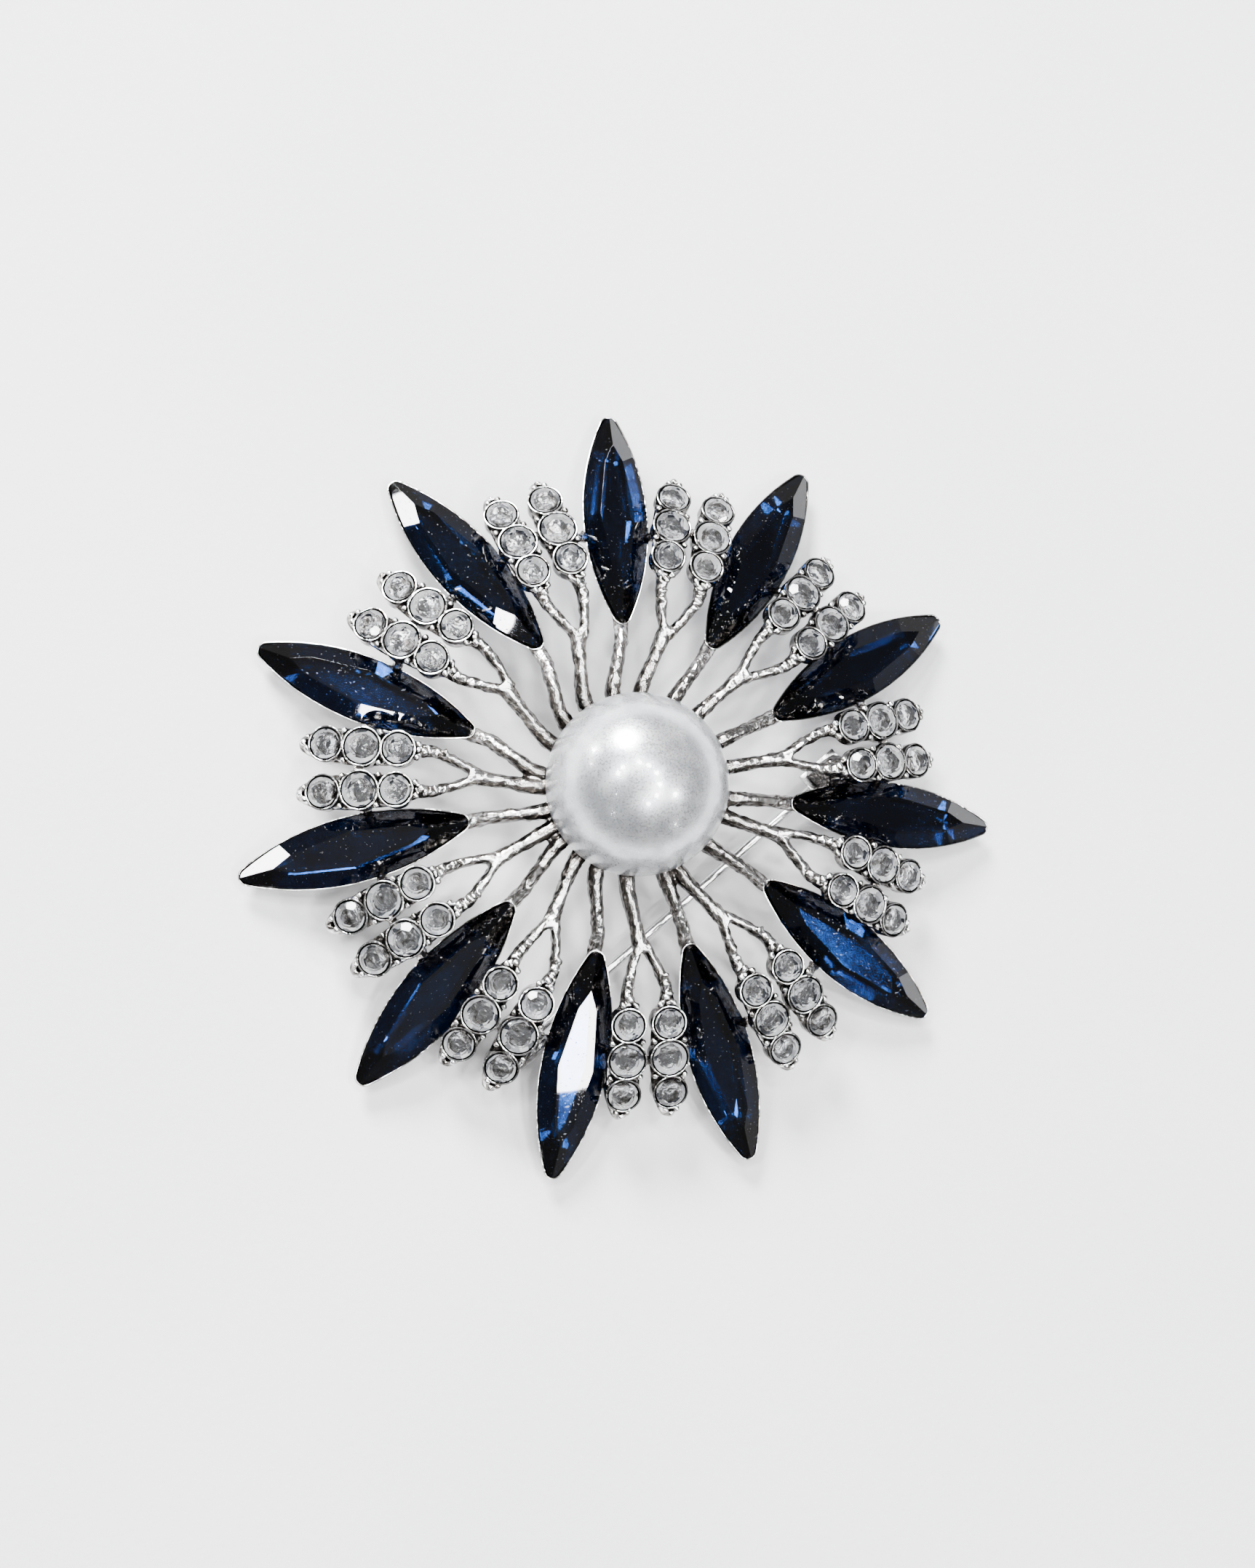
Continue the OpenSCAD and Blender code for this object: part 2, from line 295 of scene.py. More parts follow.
def softEdges(ob, width, steps=2, angle=30):
    return addModifier(ob, "BEVEL", width=width * mm, segments=steps, limit_method="ANGLE",
                       angle_limit=math.radians(angle), harden_normals=False)


def smoothShade(ob, angle=None):
    pick(ob)
    if angle is None:
        bpy.ops.object.shade_smooth()
    else:
        bpy.ops.object.shade_smooth_by_angle(angle=math.radians(angle))
    return ob


def fuse(ob, size):
    return addModifier(ob, "REMESH", mode="VOXEL", voxel_size=size * mm, use_smooth_shade=True)


def roughen(ob, name, grain, depth):
    texture = bpy.data.textures.new(name, "CLOUDS")
    texture.noise_scale = grain * mm
    texture.noise_depth = 1
    return addModifier(ob, "DISPLACE", texture=texture, strength=depth * mm, mid_level=0.5,
                       texture_coords="LOCAL")


def finishPiece(ob, material, body, slot, *nodes):
    if material:
        ob.data.materials.clear()
        ob.data.materials.append(material)
    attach(ob, body)
    if nodes:
        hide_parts(*nodes)
    return ob


# materials
def linear(hexColour):
    out = []
    for k in (0, 2, 4):
        c = int(hexColour[k:k + 2], 16) / 255
        out.append(c / 12.92 if c <= 0.04045 else ((c + 0.055) / 1.055) ** 2.4)
    return (*out, 1)


def addNode(tree, kind, settings=None, links=None):
    node = tree.nodes.new("ShaderNode" + kind)
    for key, value in (settings or {}).items():
        if isinstance(key, str) and hasattr(node, key):
            setattr(node, key, value)
        else:
            node.inputs[key].default_value = value
    for key, source in (links or {}).items():
        tree.links.new(source, node.inputs[key])
    return node


def newMaterial(name, **sockets):
    material = bpy.data.materials.new(name)
    material.use_nodes = True
    tree = material.node_tree
    shader = tree.nodes["Principled BSDF"]
    for key, value in sockets.items():
        shader.inputs[key.replace("_", " ")].default_value = value
    place = addNode(tree, "TexCoord").outputs["Object"]
    return material, tree, shader, place


def grainNode(tree, place, sizeMm, detail=2.0, rough=0.5):
    return addNode(tree, "TexNoise", {"Scale": 1 / (sizeMm * mm), "Detail": detail, "Roughness": rough},
                   {"Vector": place}).outputs["Fac"]


def rampNode(tree, source, stops):
    node = addNode(tree, "ValToRGB", None, {"Fac": source})
    ramp = node.color_ramp
    while len(ramp.elements) < len(stops):
        ramp.elements.new(0.5)
    for element, (spot, colour) in zip(ramp.elements, stops):
        element.position = spot
        element.color = linear(colour) if isinstance(colour, str) else (colour, colour, colour, 1)
    return node.outputs["Color"]


def bumpNode(tree, source, depthMm, shader, strength=1.0):
    node = addNode(tree, "Bump", {"Strength": strength, "Distance": depthMm * mm}, {"Height": source})
    tree.links.new(node.outputs["Normal"], shader.inputs["Normal"])
    return node


# bright plating over a rough zinc casting: mirror ridges, a painted highlight on level faces and grey-brown
# painted shade on walls and in hollows
casting = {"bright": "fafafb", "mid": "a39e99", "darkTone": "2a2623", "pits": 0.34, "wave": 0.9, "bump": 0.10,
           # strength of the painted highlight on level faces and of the painted shade in hollows
           "topHighlight": 0.13, "creviceShade": 0.26,
           # streaks: width, the radius it is true at, and how much they stretch outwards
           "streak": 0.13, "streakAt": 8.0, "streakRun": 0.12,
           # painted shade between these radii, under and beside the pearl
           "near": (6.2, 10.5), "pearlShadeTint": "6b635c", "pearlShadeShare": 0.72}
# seats are smoother and catch light more evenly; they carry their own painted highlight on level faces and
# painted shade in hollows
seatFinish = {"ripple": 0.55, "topHighlight": 0.14, "creviceShade": 0.3, "bump": 0.06}
# painted light and shade: facing upwards from and to, how far a hollow is felt (mm), how open it is from and
# to
shadingPaint = {"level": (0.25, 0.95), "feel": 0.5, "open": (0.3, 0.9)}


# streaks that run outwards from the hub, as the mould's cutter left them
def streakNode(tree, place):
    parts = addNode(tree, "SeparateXYZ", None, {0: place})
    around = addNode(tree, "Math", {"operation": "ARCTAN2"}, {0: parts.outputs["X"], 1: parts.outputs["Y"]})
    across = addNode(tree, "Math", {"operation": "MULTIPLY", 1: casting["streakAt"] * mm},
                     {0: around.outputs[0]})
    flat = addNode(tree, "VectorMath", {"operation": "MULTIPLY", 1: (1, 1, 0)}, {0: place}).outputs[0]
    reach = addNode(tree, "VectorMath", {"operation": "LENGTH"}, {0: flat}).outputs["Value"]
    along = addNode(tree, "Math", {"operation": "MULTIPLY", 1: casting["streakRun"]}, {0: reach})
    polarPlace = addNode(tree, "CombineXYZ", None, {0: across.outputs[0], 1: along.outputs[0]}).outputs[0]
    streak = grainNode(tree, polarPlace, casting["streak"], 2.0, 0.6)
    return addNode(tree, "Math", {"operation": "MULTIPLY", 1: 0.5}, {0: streak}).outputs[0]


# painted highlight on level faces, painted shade on walls and in hollows: lying level adds, a wall or a
# hemmed-in spot takes away
def paintedLightAndShade(tree, pits, topHighlight, creviceShade):
    facing = addNode(tree, "SeparateXYZ", None, {0: addNode(tree, "TexCoord").outputs["Normal"]}).outputs["Z"]
    level = addNode(tree, "Math", {"operation": "ABSOLUTE"}, {0: facing}).outputs[0]
    up = addNode(tree, "MapRange", {"From Min": shadingPaint["level"][0], "From Max": shadingPaint["level"][1],
                                    "To Min": -topHighlight, "To Max": topHighlight}, {"Value": level}).outputs["Result"]
    clear = addNode(tree, "AmbientOcclusion", {"samples": 8, "Distance": shadingPaint["feel"] * mm}).outputs["AO"]
    edge = addNode(tree, "MapRange", {"From Min": shadingPaint["open"][0], "From Max": shadingPaint["open"][1],
                                      "To Min": -creviceShade, "To Max": 0.0}, {"Value": clear}).outputs["Result"]
    both = addNode(tree, "Math", {"operation": "ADD"}, {0: up, 1: edge}).outputs["Value"]
    return addNode(tree, "Math", {"operation": "ADD"}, {0: both, 1: pits}).outputs["Value"]


def platedCasting():
    material, tree, shader, place = newMaterial("platedZincCasting", Metallic=1.0, Roughness=0.2)
    pitted = grainNode(tree, place, casting["pits"], 3.0, 0.6)
    pits = addNode(tree, "Math", {"operation": "MULTIPLY_ADD", 1: 0.5},
                   {0: pitted, 2: streakNode(tree, place)}).outputs["Value"]
    wave = grainNode(tree, place, casting["wave"], 1.0)
    # painted highlight on level faces and painted shade on walls and in hollows, added to the pits before the
    # colour ramp
    grainWithPaintedLight = paintedLightAndShade(tree, pits, casting["topHighlight"], casting["creviceShade"])
    stops = [(0.38, casting["darkTone"]), (0.5, casting["mid"]), (0.62, casting["bright"])]
    colour = rampNode(tree, grainWithPaintedLight, stops)
    # painted shade near the pearl: the colour is multiplied by grey-brown, fully at the inner radius and not
    # at all at the outer
    flat = addNode(tree, "VectorMath", {"operation": "MULTIPLY", 1: (1, 1, 0)}, {0: place}).outputs[0]
    reach = addNode(tree, "VectorMath", {"operation": "LENGTH"}, {0: flat}).outputs["Value"]
    start, end = (r * mm for r in casting["near"])
    near = addNode(tree, "MapRange", {"From Min": start, "From Max": end, "To Min": casting["pearlShadeShare"],
                                      "To Max": 0.0}, {"Value": reach}).outputs["Result"]
    mixed = addNode(tree, "MixRGB", {"Color2": linear(casting["pearlShadeTint"]), "blend_type": "MULTIPLY"},
                    {"Fac": near, "Color1": colour})
    tree.links.new(mixed.outputs["Color"], shader.inputs["Base Color"])
    dullness = addNode(tree, "MapRange", {"From Min": 0.3, "From Max": 0.7, "To Min": 0.30, "To Max": 0.08},
                       {"Value": pits}).outputs["Result"]
    tree.links.new(dullness, shader.inputs["Roughness"])
    both = addNode(tree, "Math", {"operation": "ADD"}, {0: pits, 1: wave}).outputs["Value"]
    bumpNode(tree, both, casting["bump"], shader)
    return material


# the same plating on the smoother stone seats: cleaner mirror with a few ripples, and the same painted
# highlight and painted shade
def platedSeat():
    material, tree, shader, place = newMaterial("platedZincSeat", Metallic=1.0, Roughness=0.14)
    ripple = grainNode(tree, place, seatFinish["ripple"], 2.0)
    # painted highlight on level faces and painted shade on walls and in hollows, added to the ripples before
    # the colour ramp
    grainWithPaintedLight = paintedLightAndShade(tree, ripple, seatFinish["topHighlight"], seatFinish["creviceShade"])
    colour = rampNode(tree, grainWithPaintedLight, [(0.3, "1f1c1a"), (0.47, "a9a5a1"), (0.6, "f8f8f9")])
    tree.links.new(colour, shader.inputs["Base Color"])
    dullness = addNode(tree, "MapRange", {"From Min": 0.3, "From Max": 0.7, "To Min": 0.22, "To Max": 0.07},
                       {"Value": ripple}).outputs["Result"]
    tree.links.new(dullness, shader.inputs["Roughness"])
    bumpNode(tree, ripple, seatFinish["bump"], shader)
    return material


# pattern sizes: colour streaks, dust specks, the mottle of the foil behind and the cells of painted glints on
# the foil
stoneLook = {"ior": 1.56, "streak": 2.5, "dust": 0.16, "cloud": 0.8, "fineDust": 0.2, "mottle": 0.5,
             "glintCell": 0.42}


# cut and polished navy glass: nearly black, blue only where a facet throws light back
def navyGlass():
    material, tree, shader, place = newMaterial("navyCutGlass", Roughness=0.02, IOR=stoneLook["ior"])
    shader.inputs["Transmission Weight"].default_value = 1.0
    streak = grainNode(tree, place, stoneLook["streak"], 2.0)
    colour = rampNode(tree, streak, [(0.35, "08132c"), (0.65, "10294f")])
    tree.links.new(colour, shader.inputs["Base Color"])
    dust = grainNode(tree, place, stoneLook["dust"], 1.0)
    specks = addNode(tree, "MapRange", {"From Min": 0.68, "From Max": 0.76, "To Min": 0.015, "To Max": 0.35},
                     {"Value": dust}).outputs["Result"]
    tree.links.new(specks, shader.inputs["Roughness"])
    return material


# polished clear lead crystal: white fire with grey facets
def clearCrystal():
    material, tree, shader, place = newMaterial("clearLeadCrystal", Roughness=0.01, IOR=stoneLook["ior"])
    shader.inputs["Transmission Weight"].default_value = 1.0
    cloud = grainNode(tree, place, stoneLook["cloud"], 1.0)
    colour = rampNode(tree, cloud, [(0.35, "f1f5fa"), (0.65, "ffffff")])
    tree.links.new(colour, shader.inputs["Base Color"])
    dust = grainNode(tree, place, stoneLook["fineDust"], 1.0)
    specks = addNode(tree, "MapRange", {"From Min": 0.66, "From Max": 0.76, "To Min": 0.0, "To Max": 0.12},
                     {"Value": dust}).outputs["Result"]
    tree.links.new(specks, shader.inputs["Roughness"])
    return material


# silver foil painted behind the stones: a mirror with faint brush mottling
def silverFoil():
    material, tree, shader, place = newMaterial("silverStoneFoil", Metallic=1.0, Roughness=0.08)
    mottle = grainNode(tree, place, stoneLook["mottle"], 2.0)
    colour = rampNode(tree, mottle, [(0.3, "b9bec6"), (0.6, "eef0f3")])
    tree.links.new(colour, shader.inputs["Base Color"])
    return material


# white foil under the round stones, painted in small cells from dark grey to white as painted glints and
# painted dark reflections
def paintedGlintFoil():
    material, tree, shader, place = newMaterial("whiteStoneFoil", Metallic=0.45, Roughness=0.22)
    cells = addNode(tree, "TexVoronoi", {"Scale": 1 / (stoneLook["glintCell"] * mm)}, {"Vector": place})
    tone = addNode(tree, "SeparateXYZ", None, {0: cells.outputs["Color"]}).outputs["X"]
    # painted glints: each cell gets its own tone between near black and white
    colour = rampNode(tree, tone, [(0.25, "34373e"), (0.35, "c3c6cc"), (0.46, "ffffff")])
    tree.links.new(colour, shader.inputs["Base Color"])
    return material


# lacquered pearl bead: milky white, a clear gloss coat, fine mica fleck
pearlLook = {"deep": "b2b5bb", "pale": "d4d6d9", "fleck": 0.14, "cloud": 1.6}


def pearlLacquer():
    material, tree, shader, place = newMaterial("pearlLacquer", Roughness=0.32, IOR=1.5, Metallic=0.78)
    shader.inputs["Coat Weight"].default_value = 1.0
    shader.inputs["Coat Roughness"].default_value = 0.035
    shader.inputs["Subsurface Weight"].default_value = 0.15
    shader.inputs["Subsurface Scale"].default_value = 0.6 * mm
    fleck = grainNode(tree, place, pearlLook["fleck"], 2.0, 0.7)
    cloud = grainNode(tree, place, pearlLook["cloud"], 1.0)
    both = addNode(tree, "Math", {"operation": "MULTIPLY_ADD", 1: 0.5}, {0: fleck, 2: cloud}).outputs["Value"]
    colour = rampNode(tree, both, [(0.6, pearlLook["deep"]), (0.9, pearlLook["pale"])])
    tree.links.new(colour, shader.inputs["Base Color"])
    gloss = addNode(tree, "MapRange", {"From Min": 0.3, "From Max": 0.7, "To Min": 0.22, "To Max": 0.4},
                    {"Value": fleck}).outputs["Result"]
    tree.links.new(gloss, shader.inputs["Roughness"])
    bumpNode(tree, fleck, 0.006, shader)
    return material


# stamped and plated findings: even silver gloss with light scuffs
def platedFinding():
    material, tree, shader, place = newMaterial("platedFinding", Metallic=1.0, Roughness=0.2)
    scuff = grainNode(tree, place, 0.7, 3.0, 0.6)
    colour = rampNode(tree, scuff, [(0.3, "a5a3a2"), (0.6, "dadadc")])
    tree.links.new(colour, shader.inputs["Base Color"])
    worn = addNode(tree, "MapRange", {"From Min": 0.35, "From Max": 0.65, "To Min": 0.3, "To Max": 0.14},
                   {"Value": scuff}).outputs["Result"]
    tree.links.new(worn, shader.inputs["Roughness"])
    bumpNode(tree, scuff, 0.01, shader)
    return material


# drawn steel spring wire: bright, with fine lines along its length
def springWire(turn):
    material, tree, shader, place = newMaterial("drawnSteelWire", Metallic=1.0, Roughness=0.22)
    lined = addNode(tree, "Mapping", {"Rotation": (0, 0, math.radians(turn)), "Scale": (0.04, 1, 1)},
                    {"Vector": place}).outputs["Vector"]
    lines = grainNode(tree, lined, 0.07, 2.0)
    colour = rampNode(tree, lines, [(0.35, "b5b6b8"), (0.6, "ededee")])
    tree.links.new(colour, shader.inputs["Base Color"])
    worn = addNode(tree, "MapRange", {"From Min": 0.35, "From Max": 0.65, "To Min": 0.28, "To Max": 0.12},
                   {"Value": lines}).outputs["Result"]
    tree.links.new(worn, shader.inputs["Roughness"])
    return material


# matt white card under the brooch, with the faintest tooth
def paleCard():
    material, tree, shader, place = newMaterial("matteWhiteCard", Roughness=0.75)
    tooth = grainNode(tree, place, 0.5, 3.0)
    broad = grainNode(tree, place, 45.0, 1.0)
    both = addNode(tree, "Math", {"operation": "MULTIPLY_ADD", 1: 0.25},
                   {0: tooth, 2: broad}).outputs["Value"]
    colour = rampNode(tree, both, [(0.5, "e3e4e7"), (0.75, "ebebec")])
    tree.links.new(colour, shader.inputs["Base Color"])
    bumpNode(tree, tooth, 0.02, shader)
    return material


castMetal = platedCasting()
seatMetal = platedSeat()
navy = navyGlass()
crystal = clearCrystal()
silverBack = silverFoil()
whiteFoil = paintedGlintFoil()
pearlCoat = pearlLacquer()
findingMetal = platedFinding()
wireMetal = springWire(-37)
cardFace = paleCard()
print("materials made")

# hub, spokes and forks of the casting
spokes = {"foot": 4.6, "width": 1.18, "depth": 1.7, "step": 0.6, "lumps": 0.07,
          "voxel": 0.13, "grain": 0.4, "grainDepth": 0.16, "hub": 5.2, "hubLow": 0.07, "hubTop": 1.9}
# cross ridges like beading on each fork arm, between the fork and the first seat
ridges = {"radii": (12.5, 13.1, 13.7, 14.25), "size": 0.3, "stretch": (1.25, 0.62, 0.9),
          "sink": 0.12, "skew": 12}
# from a row's middle seat to the cup beside it, in the seats' own frames on the right hand side
sideBar = {"rowEnd": (1, -0.3, -0.9), "cupEnd": (-1.8, -1.3, -0.5), "rim": (-2.3, -1.3, -0.1),
           "width": 0.6, "drop": 0.34}


def singleSpoke(i):
    a = i * pitch + flower["rootBend"][i]
    b = flower["singleLean"][i]
    w, d, top = spokes["width"], spokes["depth"], flower["top"]
    points = [(spokes["foot"], top - 0.06, a + 1.25 * b, w, d),
              (6.5, top - 0.1, a + 0.95 * b, 0.92 * w, d),
              (8.2, top - 0.4, a + 0.45 * b, 0.74 * w, 0.85 * d),
              (9.8, top - 1.05, a + 0.1 * b, 0.8 * w, 0.75 * d),
              (12, top - 2.35, a, 0.95 * w, 0.55 * d)]
    return [growRod("singleSpoke", spokeStations(points, spokes["step"]))]


def forkedSpoke(i):
    a = (i + 0.5) * pitch + flower["forkBend"][i]
    b = flower["forkedLean"][i]
    c = forkTurn(i)
    w, d, top = spokes["width"], spokes["depth"], flower["top"]
    points = [(spokes["foot"], top - 0.06, a + 1.25 * b, w, d),
              (6.5, top - 0.05, a + 0.95 * b, 0.92 * w, d),
              (8.6, top, a + 0.4 * b, 0.72 * w, 0.9 * d),
              (10.9, top, a, w, 0.8 * d)]
    rods = [growRod("forkedSpoke", spokeStations(points, spokes["step"]))]
    for s in (-1, 1):
        arm = [(10.3, top, a + s, 0.56 * w, 0.8 * d),
               (11.7, top, (a + c) / 2 + 3.8 * s, 0.56 * w, 0.75 * d),
               (13.2, rowHeight(13.2), c + 5.6 * s, 0.65 * w, 0.7 * d),
               (14.8, rowHeight(14.8) - 0.1, c + 5.2 * s, 0.95 * w, 0.7 * d)]
        rods.append(growRod("forkArm", spokeStations(arm, spokes["step"])))
        for k, r in enumerate(ridges["radii"]):
            angle = c + (5.15 + 0.25 * min(k, 2)) * s
            spot = polar(r, angle, rowHeight(r) - ridges["sink"]) / mm
            ridge = bead("ridge", ridges["size"], (0, 0, 0), ridges["stretch"])
            skew = ridges["skew"] * s * (1 if k % 2 else -1)
            place(ridge, Matrix.Translation(spot * mm) @ turnZ(angle + skew))
            rods.append(ridge)
    return rods


def rodBetween(name, start, end, width):
    way = end - start
    clearSelection()
    bpy.ops.mesh.primitive_cylinder_add(vertices=12, radius=width / 2 * mm, depth=way.length)
    rod = settle(named(name))
    turn = way.to_track_quat("Z", "Y").to_matrix().to_4x4()
    return place(rod, Matrix.Translation((start + end) / 2) @ turn)


# short bar from a row to the cup beside it, with a drop of metal where they meet
def sideTie(i, s):
    rowEnd, cupEnd, rim = (Vector((x * s, y, z)) * mm
                           for x, y, z in (sideBar["rowEnd"], sideBar["cupEnd"], sideBar["rim"]))
    nearCup = stoneSeat((i + (s + 1) // 2) % flower["arms"])
    drop = bead("drop", sideBar["drop"], (0, 0, 0))
    bar = rodBetween("tie", turnZ(forkTurn(i)) @ roundSeat(s, 1) @ rowEnd, nearCup @ cupEnd, sideBar["width"])
    return [bar, place(drop, Matrix.Translation(nearCup @ rim))]


def wrapped(blocks, name):
    slab = joinAll(blocks, name)
    bpy.ops.object.mode_set(mode="EDIT")
    bpy.ops.mesh.select_all(action="SELECT")
    bpy.ops.mesh.convex_hull()
    bpy.ops.object.mode_set(mode="OBJECT")
    return slab


# +X towards the hinge, +Y towards the flower's axis
pinLine = {"heading": 53, "offset": 8.35, "hinge": 11.5, "catch": -16.2, "pivot": -3.45, "plateTop": -2.26}


def onPin(x, z):
    turn = Matrix.Rotation(math.radians(90 - pinLine["heading"]), 4, "Z")
    return turn @ Matrix.Translation(Vector((x, -pinLine["offset"], z)) * mm)


# blocks of the casting that the hinge and the catch are soldered to: a foot on the pin's line, as
# (size, height above the plate), and a foot under a seat, as (size, centre, fork, side, seat)
pads = {"hingePad": ("hinge", ((2.2, 2.0, 0.5), 0.34), ((1.2, 2.1, 0.5), (0, -0.9, -1.1), 2, 1, 0)),
        "catchPad": ("catch", ((1.8, 1.6, 0.4), 0.66), ((1.5, 2.1, 0.5), (0, 0, -1.1), 6, -1, 1))}


def solderPads():
    out = []
    for name, (end, (size, rise), (rowSize, centre, fork, side, seat)) in pads.items():
        foot = place(block("foot", size, (0, 0, 0)), onPin(pinLine[end], pinLine["plateTop"] + rise))
        under = place(block("foot", rowSize, centre), turnZ(forkTurn(fork)) @ roundSeat(side, seat))
        out.append(wrapped([foot, under], name))
    return out


def castSpokes():
    rods = []
    for i in range(flower["arms"]):
        rods += singleSpoke(i) + forkedSpoke(i)
    for i in range(flower["arms"]):
        for s in (-1, 1):
            rods += sideTie(i, s)
    rods += solderPads()
    rods.append(cylinder("hub", spokes["hub"], spokes["hubLow"], spokes["hubTop"], corners=64))
    whole = joinAll(rods, "castSpokes")
    pick(whole)
    bpy.ops.object.mode_set(mode="EDIT")
    bpy.ops.mesh.select_all(action="SELECT")
    bpy.ops.transform.vertex_random(offset=spokes["lumps"] * mm, seed=4)
    bpy.ops.object.mode_set(mode="OBJECT")
    fuse(whole, spokes["voxel"])
    roughen(whole, "twigGrain", spokes["grain"], spokes["grainDepth"])
    smoothShade(whole)
    return finishPiece(whole, castMetal, "flower", "plated_casting", "cast_frame")


castSpokes()
print("spokes done")

# a pair of rows of round seats, modelled once
row = {"stone": (1.9, 2.2, 1.95), "wall": 0.23, "rim": 0.12, "lip": 0.17, "low": -0.9, "pocket": -0.72,
       "voxel": 0.09, "grain": 0.4, "grainDepth": 0.05,
       # along the row: (x, y, top, width, depth)
       "body": ((1.28, 13.7, 1.62, 0.75, 1.1), (1.32, 14.4, 1.45, 1.35, 1.25), (1.33, 15.5, 1.02, 2.25, 1.3),
                (1.37, 16.7, 0.6, 2.35, 1.3), (1.42, 17.8, 0.12, 2.75, 1.3), (1.5, 19.0, -0.5, 2.5, 1.3),
                (1.58, 20.0, -1.12, 2.4, 1.3), (1.62, 20.9, -1.72, 1.75, 1.2),
                (1.66, 21.75, -2.35, 0.8, 0.8)),
       # beads of metal in the crotches between seats, and round the first and last seat: (x, y, z, radius)
       "crotch": (0.98, 0.02, 0.24),
       "ends": {0: ((0.42, -1.3, 0.0, 0.25), (-0.42, -1.3, 0.0, 0.25), (0, -1.72, 0.0, 0.3)),
                2: ((0.36, 1.3, 0.0, 0.24), (-0.36, 1.3, 0.0, 0.24), (0, 1.68, -0.2, 0.26))}}


def collar(radius):
    ring = cylinder("collar", radius + row["wall"], row["low"], row["lip"], corners=40)
    selectWhere(ring, lambda c, n: n.z > 0.9)
    bpy.ops.mesh.inset(thickness=row["rim"] * mm)
    bpy.ops.mesh.extrude_region_move(TRANSFORM_OT_translate={"value": (0, 0, row["pocket"] * mm)})
    endEdit()
    return softEdges(ring, 0.035, 2, 40)


def seatRow():
    parts = [growRod("rowBody", [(*p, 0) for p in row["body"]], corners=10)]
    addModifier(parts[0], "SUBSURF", levels=2, render_levels=2)
    across, above, size = row["crotch"]
    for k in (0, 1):
        a, b = roundSeat(1, k).translation, roundSeat(1, k + 1).translation
        for s in (-1, 1):
            spot = (a + b) / 2 / mm + Vector((s * across, 0, above))
            parts.append(bead("crotchBead", size, spot))
    for k, beads in row["ends"].items():
        for x, y, z, r in beads:
            parts.append(place(bead("endBead", r, (x, y, z)), roundSeat(1, k)))
    body = fuse(joinAll(parts, "rowBody"), row["voxel"])
    roughen(body, "seatGrain", row["grain"], row["grainDepth"])
    smoothShade(body)
    collars = [smoothShade(place(collar(d / 2), roundSeat(1, k)), 35) for k, d in enumerate(row["stone"])]
    return joinAll([body] + collars, "seatRow")


def castRows():
    right = seatRow()
    left = mirrored(right, "leftRow")
    tie = softEdges(block("tie", (1.3, 0.6, 0.6), (0, 17.9, -0.55)), 0.12, 3)
    pair = joinAll([right, left, tie], "rowPair")
    for i in range(flower["arms"]):
        piece = place(copyPiece(pair, f"castRows{i + 1:02d}"), turnZ(forkTurn(i)))
        finishPiece(piece, seatMetal, "flower", "plated_casting")
    remove(pair)


castRows()
print("rows done")

# long stones and the cups they sit in
longStone = {"length": 15.2, "width": 4.2, "blunt": 0.42, "girdle": 0.12, "table": 0.8, "keel": -1.2,
             # azimuth and lean from upright, both in degrees
             "crown": ((8, 58), (172, 58), (188, 58), (352, 58), (25, 61), (155, 61), (205, 61), (335, 61)),
             "pavilion": (8, 172, 188, 352, 26, 154, 206, 334, 90, 270), "pavilionLean": 50, "edge": 0.02}


# pointed oval prism with blunt tips: two long arcs joined by two small ones
def pointedOval(name, length, width, blunt, lowZ, highZ):
    quarter, longSteps = 14, 10
    oval = cylinder(name, 0.5, lowZ, highZ, corners=4 * quarter)
    a, b = length / 2 - blunt, width / 2 - blunt
    big = (a * a + b * b) / (2 * b)
    bend = math.asin(a / big)
    for v in oval.data.vertices:
        step = round(math.atan2(abs(v.co.y), abs(v.co.x)) / (math.pi / 2) * quarter)
        if step <= longSteps:
            t = bend * step / longSteps
            x, y = b - big + (big + blunt) * math.cos(t), (big + blunt) * math.sin(t)
        else:
            t = bend + (math.pi / 2 - bend) * (step - longSteps) / (quarter - longSteps)
            x, y = blunt * math.cos(t), a + blunt * math.sin(t)
        v.co.x = math.copysign(x * mm, v.co.x)
        v.co.y = math.copysign(y * mm, v.co.y)
    return oval


def furthest(ob, angle):
    a = math.radians(angle)
    return max(v.co.x * math.cos(a) + v.co.y * math.sin(a) for v in ob.data.vertices)


def cutFacets(ob, facets, z, up):
    reach = [(a, lean, furthest(ob, a)) for a, lean in facets]
    for angle, lean, far in reach:
        a, tilt = math.radians(angle), math.radians(lean)
        away = Vector((math.cos(a), math.sin(a), 0))
        facing = away * math.cos(tilt) + Vector((0, 0, up * math.sin(tilt)))
        flatCut(ob, away * far + Vector((0, 0, z * mm)), facing)


def splitGlass(ob, glass, backing):
    ob.data.materials.clear()
    ob.data.materials.append(glass)
    ob.data.materials.append(backing)
    for f in ob.data.polygons:
        f.material_index = 1 if f.normal.z < -0.1 else 0


def longStones():
    stone = pointedOval("longStone", longStone["length"], longStone["width"], longStone["blunt"],
                        longStone["keel"], longStone["table"])
    cutFacets(stone, longStone["crown"], longStone["girdle"], 1)
    cutFacets(stone, [(a, longStone["pavilionLean"]) for a in longStone["pavilion"]], 0, -1)
    softEdges(stone, longStone["edge"], 1, 9)
    splitGlass(stone, navy, silverBack)
    for i in range(flower["arms"]):
        piece = place(copyPiece(stone, f"longStone{i + 1:02d}"), stoneSeat(i))
        finishPiece(piece, None, "flower", "dark_blue_glass", f"navette_{i + 1:02d}")
    remove(stone)


cup = {"length": 15.7, "width": 4.5, "blunt": 0.65, "low": -1.6, "rim": 0.0, "lip": 0.11,
       # the wall goes straight down by the ledge, then draws in to the pocket's floor as it does outside
       "ledge": -0.25, "pocket": -1.03, "taper": (0.6, 0.86, 1), "edge": 0.04}


